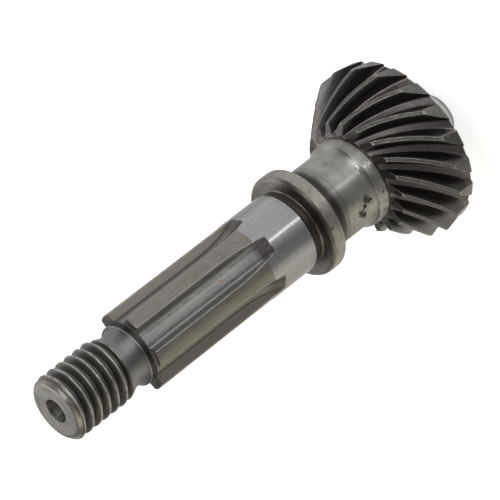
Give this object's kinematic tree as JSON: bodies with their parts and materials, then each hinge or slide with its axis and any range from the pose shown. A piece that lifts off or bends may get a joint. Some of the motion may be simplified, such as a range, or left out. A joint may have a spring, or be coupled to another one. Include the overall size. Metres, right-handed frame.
{
  "type": "pinion shaft",
  "caption": "Steel output shaft with a spiral bevel pinion, shoulder collar, ground bearing journal, straight-sided spline and left-hand threaded end.",
  "frame": {"origin": "centre of the stub's end face, on the shaft axis", "axes": "+Z along the shaft axis from the stub towards the threaded end; +X through a spline tooth"},
  "size_m": [0.0221, 0.0222, 0.0612],
  "materials": {
    "steel": "machined alloy steel, ground on the journal, turned on hub and collar, dark heat-treated on the pinion teeth"
  },
  "bodies": {
    "root": {"pinion_shaft": "steel"}
  },
  "joints": []
}
